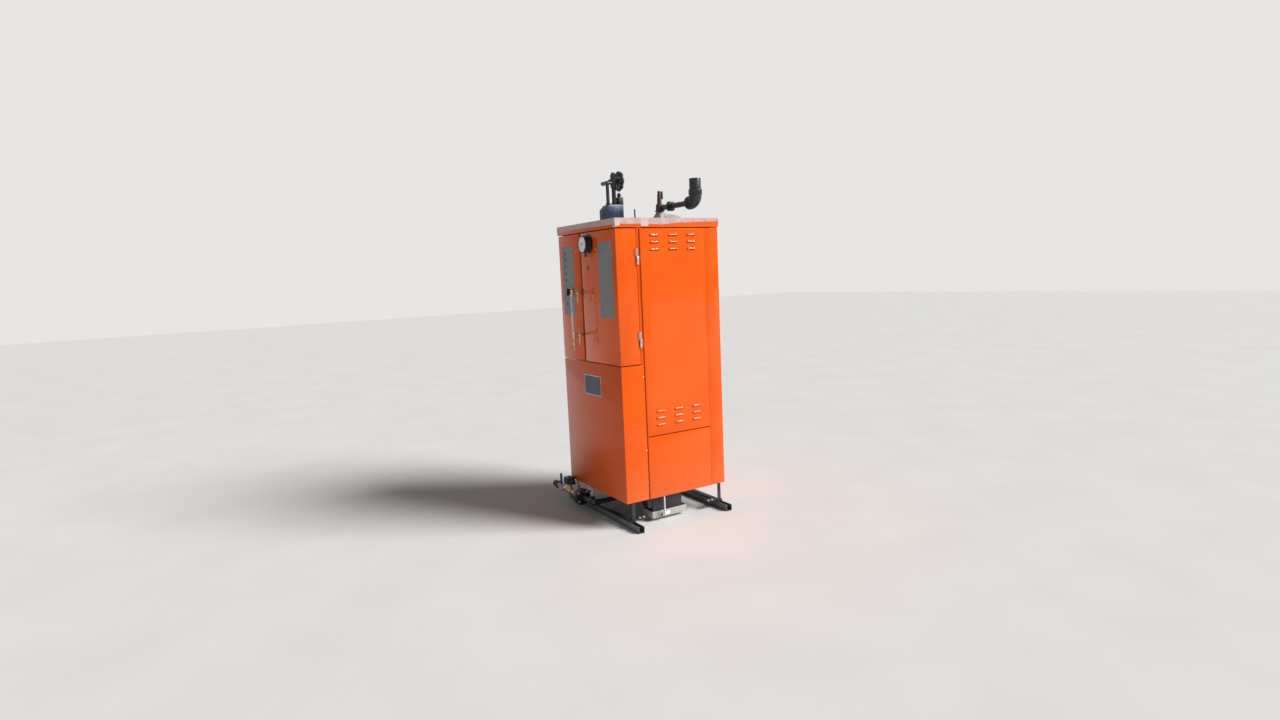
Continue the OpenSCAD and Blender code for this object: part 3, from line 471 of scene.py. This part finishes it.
clear_tape = grained("clear_tape", (0.66, 0.52, 0.47), (0.58, 0.45, 0.41), 0.03, (0.2, 0.35),
                     0.0003)
tape_x, tape_y, tape_top = half_x + 0.0008, lid_low.y - FILM_OUT - 0.0008, lid_high.z
tapes = bmesh.new()
for corners in (
        ((0.372, tape_y, tape_top), (0.372, tape_y, 1.872),
         (0.3935, tape_y, 1.866), (0.3935, tape_y, tape_top)),
        ((tape_x, -0.3855, tape_top), (tape_x, -0.3855, 1.874),
         (tape_x, -0.352, 1.880), (tape_x, -0.349, tape_top)),
        ((tape_x, -0.205, tape_top), (tape_x, -0.203, 1.8775),
         (tape_x, -0.150, 1.876), (tape_x, -0.145, tape_top))):
    strip = tapes.faces.new([tapes.verts.new(corner) for corner in corners])
    bmesh.ops.subdivide_edges(tapes, edges=list(strip.edges), cuts=4, use_grid_fill=True)
bmesh.ops.recalc_face_normals(tapes, faces=tapes.faces)
for vert in tapes.verts:
    vert.co.z += 0.002 * noise.noise(vert.co * 60) if vert.co.z < 1.90 else 0
smooth_curves(tapes, 60)
thicken(add_piece(tapes, "film_tape", clear_tape, "cabinet"), 0.0002, 0)


# The pressure gauge is a black pressed case on a round flange. Its dial is white enamelled tin
# with printed marks and numbers in bar, a black pointer and a domed glass under the bezel.
gauge_black = grained("gauge_black", (0.030, 0.030, 0.033), (0.016, 0.016, 0.018), 0.03,
                      (0.18, 0.3), 0.00004)
dial_white = grained("dial_white", (0.84, 0.85, 0.84), (0.78, 0.79, 0.79), 0.03, (0.35, 0.45),
                     0.00002)
dial_ink = grained("dial_ink", (0.03, 0.03, 0.035), (0.015, 0.015, 0.02), 0.01, (0.4, 0.6), 0.00001)
stem_bronze = grained("stem_bronze", (0.17, 0.10, 0.06), (0.10, 0.06, 0.04), 0.012, (0.3, 0.5),
                      0.00015, metal=0.8)
GAUGE_X, GAUGE_Z, DIAL_RADIUS, CASE_RADIUS = 0.042, 1.790, 0.050, 0.0535
gauge_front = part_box("pressure_gauge")[0].y
dress("pressure_gauge", "gauge_case", [gauge_black, stem_bronze], 0.0012,
      lambda middle, face: middle.z < GAUGE_Z - CASE_RADIUS and middle.y > gauge_front + 0.012)

dial_y = gauge_front + 0.005
dial = bmesh.new()
bar(dial, (GAUGE_X, dial_y + 0.0002, GAUGE_Z), (GAUGE_X, dial_y - 0.0012, GAUGE_Z),
    DIAL_RADIUS - 0.0006, 96)
round_edges(dial, 0.0004)
smooth_curves(dial)
add_piece(dial, "gauge_dial", dial_white, "right_door")

FACE_Y = dial_y - 0.0014
FIRST_MARK, LAST_MARK = math.radians(225), math.radians(-45)
BARS, MARKS_PER_BAR, BARS_PER_NUMBER = 16, 4, 4
MARK_RADIUS, ARC_RADIUS, NUMBER_RADIUS = 0.0465, 0.0472, 0.0335
marks = bmesh.new()
for step in range(MARKS_PER_BAR * BARS + 1):
    angle = FIRST_MARK + (LAST_MARK - FIRST_MARK) * step / (MARKS_PER_BAR * BARS)
    whole_bar = step % MARKS_PER_BAR == 0
    numbered = step % (MARKS_PER_BAR * BARS_PER_NUMBER) == 0
    length = 0.0065 if numbered else 0.0048 if whole_bar else 0.0028
    width = 0.0011 if whole_bar else 0.0005
    block(marks, (GAUGE_X, FACE_Y, GAUGE_Z), (length, 0.0003, width),
          Matrix.Rotation(-angle, 4, "Y") @ Matrix.Translation((MARK_RADIUS - length / 2, 0, 0)))
arc = [marks.verts.new((GAUGE_X + radius * math.cos(FIRST_MARK), FACE_Y,
                        GAUGE_Z + radius * math.sin(FIRST_MARK)))
       for radius in (ARC_RADIUS - 0.0008, ARC_RADIUS)]
bmesh.ops.spin(marks, geom=arc + [marks.edges.new(arc)], cent=(GAUGE_X, 0, GAUGE_Z),
               axis=(0, 1, 0), angle=FIRST_MARK - LAST_MARK, steps=72)
add_piece(marks, "gauge_marks", dial_ink, "right_door")

for number in range(0, BARS + 1, BARS_PER_NUMBER):
    angle = FIRST_MARK + (LAST_MARK - FIRST_MARK) * number / BARS
    lettering = bpy.data.curves.new("number", "FONT")
    lettering.body, lettering.size = str(number), 0.0115
    lettering.align_x, lettering.align_y = "CENTER", "CENTER"
    written = bpy.data.objects.new("number", lettering)
    figure_mesh = bpy.data.meshes.new_from_object(written)
    bpy.data.objects.remove(written)
    figure_mesh.transform(Matrix.Translation((GAUGE_X + NUMBER_RADIUS * math.cos(angle),
                                              FACE_Y - 0.0002,
                                              GAUGE_Z + NUMBER_RADIUS * math.sin(angle)))
                          @ Matrix.Rotation(math.pi / 2, 4, "X"))
    figure_mesh.materials.append(dial_ink)
    figure = bpy.data.objects.new("gauge_number_%d" % number, figure_mesh)
    bpy.context.scene.collection.objects.link(figure)
    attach(figure, "right_door")

POINTER_ANGLE = math.radians(222)
pointer = bmesh.new()
outline = ((-0.016, 0.0030), (-0.016, -0.0030), (-0.004, -0.0012), (0.036, -0.0006), (0.042, 0),
           (0.036, 0.0006), (-0.004, 0.0012))
needle = pointer.faces.new([pointer.verts.new((x, 0, z)) for x, z in outline])
raised = bmesh.ops.extrude_face_region(pointer, geom=[needle])["geom"]
bmesh.ops.translate(pointer, vec=(0, -0.0006, 0),
                    verts=[g for g in raised if isinstance(g, bmesh.types.BMVert)])
bar(pointer, (0, 0.0010, 0), (0, -0.0020, 0), 0.0052, 32)
bmesh.ops.transform(pointer, verts=pointer.verts,
                    matrix=Matrix.Translation((GAUGE_X, FACE_Y - 0.0014, GAUGE_Z))
                    @ Matrix.Rotation(-POINTER_ANGLE, 4, "Y"))
bmesh.ops.recalc_face_normals(pointer, faces=pointer.faces)
smooth_curves(pointer)
add_piece(pointer, "gauge_pointer", dial_ink, "right_door")

LENS_RIM, LENS_WALL, LENS_SAG = 0.0494, 0.0007, 0.0042
gauge_lens = grained("gauge_lens", (0.97, 0.98, 0.98), (0.94, 0.96, 0.96), 0.03, (0.01, 0.05),
                     0.00001, shine={"Transmission Weight": 1, "IOR": 1.3})
outer_dome = [(LENS_RIM * share, gauge_front + 0.0012 - LENS_SAG * (1 - share ** 2))
              for share in (1, 0.85, 0.7, 0.5, 0.3, 0.1, 0.0002)]
inner_dome = [(radius, y + LENS_WALL) for radius, y in reversed(outer_dome)]
dome = bmesh.new()
spun(dome, [(GAUGE_X + radius, y, GAUGE_Z) for radius, y in outer_dome + inner_dome],
     (GAUGE_X, 0, GAUGE_Z), (0, 1, 0), 72)
bmesh.ops.remove_doubles(dome, verts=dome.verts, dist=0.00003)
bmesh.ops.recalc_face_normals(dome, faces=dome.faces)
smooth_curves(dome, 50)
add_piece(dome, "gauge_glass_dome", gauge_lens, "right_door")


# Grey laminated strips are stuck on the doors: one round the lamps and the isolator, one ruled
# in narrow rows. Both are left bare of words. A dark blue plate sits on the lower cover.
def thin_plate(name, material, body, span_x, span_z, y, thick, corner=0.004):
    (x0, x1), (z0, z1) = span_x, span_z
    bm = bmesh.new()
    block(bm, ((x0 + x1) / 2, y - thick / 2, (z0 + z1) / 2), (x1 - x0, thick, z1 - z0))
    upright = [e for e in bm.edges if abs(e.verts[0].co.y - e.verts[1].co.y) > thick / 2]
    bevel(bm, upright, corner, 4)
    front = [e for e in bm.edges if all(v.co.y < y - thick * 0.9 for v in e.verts)]
    bevel(bm, front, 0.0003, 1)
    smooth_curves(bm)
    return add_piece(bm, name, material, body)


STRIP_THICK, ROWS_THICK, RIM_THICK, FACE_THICK = 0.0008, 0.0003, 0.0012, 0.0005
strip_grey = grained("strip_grey", (0.225, 0.235, 0.245), (0.185, 0.195, 0.205), 0.08,
                     (0.32, 0.45), 0.00003)
ruled_grey = grained("ruled_grey", (0.235, 0.245, 0.255), (0.195, 0.205, 0.215), 0.08,
                     (0.32, 0.45), 0.00003)
ruled = ruled_grey.node_tree
ruling = add_node(ruled, "ShaderNodeTexWave",
                  {"Vector": ruled.nodes["coords"].outputs["Object"], "Scale": 28, "Distortion": 0},
                  wave_type="BANDS", bands_direction="Z")
lines = add_node(ruled, "ShaderNodeMapRange",
                 {"Value": ruling.outputs["Fac"], "From Min": 0.74, "From Max": 0.9,
                  "To Min": 0.0, "To Max": 0.5})
lined = add_node(ruled, "ShaderNodeMix",
                 {"Factor": lines.outputs["Result"], "A": ruled.nodes["ramp"].outputs["Color"],
                  "B": (0.05, 0.055, 0.06, 1)}, data_type="RGBA")
fill_inputs(principled(ruled_grey), {"Base Color": lined.outputs["Result"]})
thin_plate("left_strip", strip_grey, "left_door",
           (-0.347, -0.182), (1.327, 1.790), front_y, STRIP_THICK)
thin_plate("right_strip_edge", strip_grey, "right_door",
           (0.165, 0.337), (1.325, 1.794), front_y, STRIP_THICK)
thin_plate("right_strip_rows", ruled_grey, "right_door",
           (0.176, 0.326), (1.337, 1.748), front_y - STRIP_THICK, ROWS_THICK, 0.002)
plate_blue = grained("plate_blue", (0.012, 0.030, 0.085), (0.008, 0.020, 0.060), 0.06,
                     (0.22, 0.36), 0.00004)
plate_rim = grained("plate_rim", (0.62, 0.63, 0.65), (0.48, 0.49, 0.52), 0.02, (0.3, 0.45),
                    0.00003, metal=1)
thin_plate("maker_plate_back", plate_rim, "cabinet",
           (-0.103, 0.120), (0.814, 0.944), front_y, RIM_THICK)
thin_plate("maker_plate_face", plate_blue, "cabinet",
           (-0.099, 0.116), (0.818, 0.940), front_y - RIM_THICK, FACE_THICK, 0.003)


# Six small round lamps sit in a row on the left strip, each a lens in a black ring with a
# stepped collar. The lens colours tell red, amber and green states.
LAMP_X = -0.304
LENS_COLOURS = {"amber": (0.30, 0.14, 0.02), "red": (0.22, 0.02, 0.015),
                "green": (0.015, 0.10, 0.04)}
RING_PROFILE = ((0.009, 0.0008), (0.009, 0.0022), (0.0083, 0.0030), (0.0072, 0.0034),
                (0.0066, 0.0030), (0.0066, 0.0012))
LENS_PROFILE = ((0.0066, 0.0012), (0.0066, 0.0032), (0.0060, 0.0044), (0.0045, 0.0053),
                (0.0024, 0.0058), (0.00001, 0.00595))


def turned(bm, profile, middle):
    x, y, z = middle
    spun(bm, [(x + radius, y - out, z) for radius, out in profile], middle, (0, 1, 0), 40,
         closed=False)


lamp_ring = grained("lamp_ring", (0.035, 0.035, 0.038), (0.02, 0.02, 0.022), 0.01, (0.22, 0.35),
                    0.00003)
lens_materials = {}
for colour_name, colour in LENS_COLOURS.items():
    lens_materials[colour_name] = grained("lens_" + colour_name, colour,
                                          tuple(c * 0.7 for c in colour), 0.006, (0.08, 0.18),
                                          0.00015, shine={"Coat Weight": 1})
lamps = [(1.747 - 0.045 * i, shade)
         for i, shade in enumerate(("amber", "red", "red", "red", "green"))] + [(1.405, "green")]
lamp_rings = bmesh.new()
for index, (height, shade) in enumerate(lamps):
    turned(lamp_rings, RING_PROFILE, (LAMP_X, front_y, height))
    lens = bmesh.new()
    turned(lens, LENS_PROFILE, (LAMP_X, front_y, height))
    bmesh.ops.remove_doubles(lens, verts=lens.verts, dist=0.00003)
    bmesh.ops.recalc_face_normals(lens, faces=lens.faces)
    smooth_curves(lens, 50)
    add_piece(lens, "lamp_lens_%d" % (index + 1), lens_materials[shade], "left_door")
bmesh.ops.recalc_face_normals(lamp_rings, faces=lamp_rings.faces)
smooth_curves(lamp_rings, 40)
stand_for(show(lamp_rings, "lamp_rings", lamp_ring), "indicator_lamps")


# The isolator is a square silvery plate with a turning knob; behind the door its block carries
# the switch. Knob and block are hard black plastic with a fine moulded grain.
black_plastic = grained("black_plastic", (0.028, 0.028, 0.030), (0.018, 0.018, 0.020), 0.02,
                        (0.38, 0.55), 0.00012)
plate_silver = grained("plate_silver", (0.55, 0.55, 0.56), (0.42, 0.42, 0.43), 0.01, (0.28, 0.42),
                       0.00004, metal=0.9, stretch=(1, 1, 8))
dress("isolator_base", "isolator_block", [black_plastic, plate_silver], 0.0012,
      lambda middle, face: middle.y < front_y and face.normal.y < -0.5)
dress("isolator_knob", "isolator_handle", black_plastic, 0.0015)
ISOLATOR_X = -0.24
knob_low, knob_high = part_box("isolator_knob")
knob_mark = bmesh.new()
block(knob_mark, (ISOLATOR_X, knob_low.y - 0.0001, knob_high.z - 0.009), (0.0035, 0.0006, 0.014))
add_piece(knob_mark, "isolator_mark", dial_white, "isolator_knob")


# The sight glass is a clear tube between two cocks of polished brass with chromed nuts and flat
# plated levers. Two thin rods guard it, and a small drain tap with a yellow handle ends it.
valve_brass = grained("valve_brass", (0.76, 0.58, 0.32), (0.56, 0.40, 0.21), 0.012, (0.22, 0.42),
                      0.00015, metal=1)
chrome_plate = grained("chrome_plate", (0.80, 0.79, 0.77), (0.62, 0.61, 0.59), 0.02, (0.07, 0.2),
                       0.00003, metal=1)
dress("gauge_cocks", "sight_cocks", [valve_brass, chrome_plate], 0.0005,
      lambda middle, face: -0.442 < middle.y < -0.400)
lever_plating = grained("lever_plating", (0.84, 0.76, 0.68), (0.74, 0.66, 0.58), 0.02,
                        (0.22, 0.36), 0.00003, metal=0.35)
dress("upper_cock_lever", "upper_lever", lever_plating, 0.001)
dress("lower_cock_lever", "lower_lever", lever_plating, 0.001)
dress("glass_guard", "guard_rods", chrome_plate, 0.0005)

TAP_END, TAP_HANDLE_SIZE = -0.0969, (0.022, 0.009, 0.006)
tap_yellow = grained("tap_yellow", (0.92, 0.56, 0.03), (0.80, 0.46, 0.02), 0.008, (0.3, 0.5),
                     0.0001)
dress("drain_cock", "sight_drain_tap", [valve_brass, tap_yellow], 0.0006,
      lambda middle, face: middle.x < TAP_END)
tap_handle = bmesh.new()
block(tap_handle, (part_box("drain_cock")[0].x - 0.0108, -0.4585, 1.154), TAP_HANDLE_SIZE)
bevel(tap_handle, list(tap_handle.edges), 0.002, 3)
smooth_curves(tap_handle)
add_piece(tap_handle, "drain_tap_handle", tap_yellow, "cabinet")

TUBE_OUTER, TUBE_INNER = 0.006, 0.0043
tube_glass = grained("tube_glass", (0.97, 0.99, 0.99), (0.92, 0.95, 0.95), 0.03, (0.01, 0.06),
                     0.00001, shine={"Transmission Weight": 1, "IOR": 1.47})
tube_low, tube_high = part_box("gauge_glass")
tube_x, tube_y = (tube_low.x + tube_high.x) / 2, (tube_low.y + tube_high.y) / 2
tube = bmesh.new()
spun(tube, [(tube_x + radius, tube_y, z)
            for radius, z in ((TUBE_OUTER, tube_low.z), (TUBE_OUTER, tube_high.z),
                              (TUBE_INNER, tube_high.z), (TUBE_INNER, tube_low.z))],
     (tube_x, tube_y, 0), (0, 0, 1), 40)
bmesh.ops.recalc_face_normals(tube, faces=tube.faces)
smooth_curves(tube)
stand_for(show(tube, "glass_tube", tube_glass), "gauge_glass")


# The steam outlet is a welded chest in navy hammer finish with black screwed pipe above it. A
# scalloped plastic handwheel works the valve, and a pressure switch stands behind the riser.
chest_navy = grained("chest_navy", (0.012, 0.028, 0.085), (0.008, 0.016, 0.050), 0.03,
                     (0.25, 0.4), 0.0006)
dress("valve_chest", "steam_chest", chest_navy, 0.003)
pipe_black = grained("pipe_black", (0.024, 0.027, 0.036), (0.012, 0.014, 0.020), 0.03,
                     (0.25, 0.45), 0.0003)
dress("steam_valve", "steam_stop_valve", pipe_black, 0.0008)
dress("steam_handwheel", "scalloped_handwheel", black_plastic, 0.002)
dress("pressure_switch", "pressure_switch_box", black_plastic, 0.0015)
WHEEL_Z = 2.208
wheel_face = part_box("steam_handwheel")[1].y
wheel_nut = bmesh.new()
bolt(wheel_nut, (STEAM_X, wheel_face - 0.0002, WHEEL_Z), (0, 1, 0), 0.006)
smooth_curves(wheel_nut)
add_piece(wheel_nut, "handwheel_nut", plated_steel, "steam_handwheel")


# The safety valve is cast bronze gone brown, with an easing lever of the same metal. Its outlet
# runs in black screwed pipe to a union and a large elbow that turns up.
old_bronze = grained("old_bronze", (0.105, 0.062, 0.058), (0.055, 0.034, 0.034), 0.015,
                     (0.35, 0.55), 0.0004, metal=0.35)
dress("safety_valve", "safety_valve_body", old_bronze, 0.0008)
dress("safety_lever", "easing_lever", old_bronze, 0.0005)
dress("relief_pipe", "relief_line", pipe_black, 0.001)


# A torn piece of packing film is gathered up under the safety valve's flange and runs out over
# the lid as a stiff raised flap. It is thin milky plastic, crumpled in folds from the valve.
WRAP_RINGS, WRAP_STEPS, WRAP_HEIGHT, WRAP_INNER, WRAP_AREA = 16, 96, 0.075, 0.024, 0.037
WRAP_REACH, FLAP_REACH, FLAP_HEIGHT, FOLD_HEIGHT = 0.078, 0.066, 0.048, 0.008
FLAP_HEADING = Vector((0.521, 0.853, 0))
packing_film = grained("packing_film", (0.56, 0.55, 0.54), (0.44, 0.43, 0.42), 0.03, (0.3, 0.5),
                       0.001)
wrap = bmesh.new()
wrap_rings = []
for ring in range(WRAP_RINGS + 1):
    share = ring / WRAP_RINGS
    row = []
    for step in range(WRAP_STEPS):
        angle = 2 * math.pi * step / WRAP_STEPS
        heading = Vector((math.cos(angle), math.sin(angle), 0))
        flap = max(0, heading.dot(FLAP_HEADING)) ** 4
        reach = WRAP_REACH + FLAP_REACH * flap + 0.010 * noise.noise(heading * 2.3)
        radius = WRAP_INNER + (reach - WRAP_INNER) * share
        gathered = WRAP_HEIGHT * (1 - share) ** 1.3
        raised = (FLAP_HEIGHT + (WRAP_HEIGHT - FLAP_HEIGHT) * (1 - share) ** 2.5
                  - 0.010 * share ** 4)
        crumple = noise.noise(heading * 7 + Vector((0, 0, share * 1.5)))
        fold = FOLD_HEIGHT * crumple * math.sin(math.pi * share)
        height = max(0, gathered * (1 - flap) + raised * flap + fold)
        row.append(wrap.verts.new((SAFETY_X + radius * heading.x, SAFETY_Y + radius * heading.y,
                                   film_z + 0.0022 + height)))
    wrap_rings.append(row)
for inner, outer in zip(wrap_rings, wrap_rings[1:]):
    for step in range(WRAP_STEPS):
        after = (step + 1) % WRAP_STEPS
        wrap.faces.new((inner[step], outer[step], outer[after], inner[after]))
bmesh.ops.recalc_face_normals(wrap, faces=wrap.faces)
smooth_curves(wrap, 60)
wrap_piece = add_piece(wrap, "packing_wrap", packing_film, "cabinet")
thicken(wrap_piece, 0.0003, 0)


# The blowdown line leaves under the front in black pipe to a bolted flange pair. After it come a
# solenoid valve in copper-coloured brass, a ball valve with a blue lever and the hose's end.
dress("blowdown_pipe", "blowdown_line", pipe_black, 0.001)
copper_brass = grained("copper_brass", (0.66, 0.46, 0.36), (0.46, 0.30, 0.23), 0.012, (0.28, 0.5),
                       0.0003, metal=1)
dress("dump_valve", "solenoid_valve_body", copper_brass, 0.0008)
dress("dump_coil", "solenoid_coil", black_plastic, 0.002)
bright_nickel = grained("bright_nickel", (0.66, 0.60, 0.56), (0.48, 0.42, 0.38), 0.012, (0.2, 0.4),
                        0.0002, metal=1)
dress("ball_valve", "ball_valve_body", bright_nickel, 0.0008)
VINYL_END = 0.1275
lever_blue = grained("lever_blue", (0.018, 0.040, 0.22), (0.011, 0.026, 0.15), 0.02, (0.3, 0.5),
                     0.0001)
dress("ball_lever", "ball_valve_handle", [lever_blue, bright_nickel], 0.0012,
      lambda middle, face: middle.z <= VINYL_END)
hose_white = grained("hose_white", (0.80, 0.80, 0.78), (0.70, 0.70, 0.68), 0.03, (0.35, 0.55),
                     0.0003)
dress("hose_adapter", "hose_adapter_end", hose_white, 0.001)
dress("bypass_hose", "bypass_hose_run", hose_white, 0)
hose_black = grained("hose_black", (0.030, 0.030, 0.030), (0.016, 0.016, 0.016), 0.02, (0.5, 0.7),
                     0.0004)
dress("hose_tail", "hose_coupling", hose_black, 0.001)

LINE_Y, LINE_Z, BOLT_CIRCLE = -0.4125, 0.088, 0.043
flange_bolts = bmesh.new()
for turn in range(4):
    angle = math.radians(45 + 90 * turn)
    bolt_y, bolt_z = LINE_Y + BOLT_CIRCLE * math.cos(angle), LINE_Z + BOLT_CIRCLE * math.sin(angle)
    for flange_x, out in ((-0.166, 1), (-0.2146, -1)):
        bolt(flange_bolts, (flange_x, bolt_y, bolt_z), (out, 0, 0), BOLT_SIZE)
smooth_curves(flange_bolts)
add_piece(flange_bolts, "flange_bolts", plated_steel, "cabinet")


# A grey moulded wiring trough hangs from the black terminal box under the right bearer. A brown
# gland and a white conduit leave its side, and a small pale label there is bare.
trough_grey = grained("trough_grey", (0.44, 0.43, 0.40), (0.37, 0.36, 0.34), 0.04, (0.42, 0.6),
                      0.0002)
dress("wiring_trough", "wiring_trough_tray", trough_grey, 0.0015)
dress("terminal_box", "terminal_box_cover", black_enamel, 0.002)
bare_label = bmesh.new()
block(bare_label, (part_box("wiring_trough")[1].x + 0.0003, -0.063, 0.042), (0.0006, 0.044, 0.022))
add_piece(bare_label, "trough_label", dial_white, "cabinet")
gland_brown = grained("gland_brown", (0.20, 0.11, 0.07), (0.13, 0.07, 0.045), 0.01, (0.35, 0.55),
                      0.0001)
gland_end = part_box("conduit")[0].x + 0.0135
dress("conduit", "conduit_and_gland", [gland_brown, hose_white], 0.0005,
      lambda middle, face: middle.x >= gland_end)
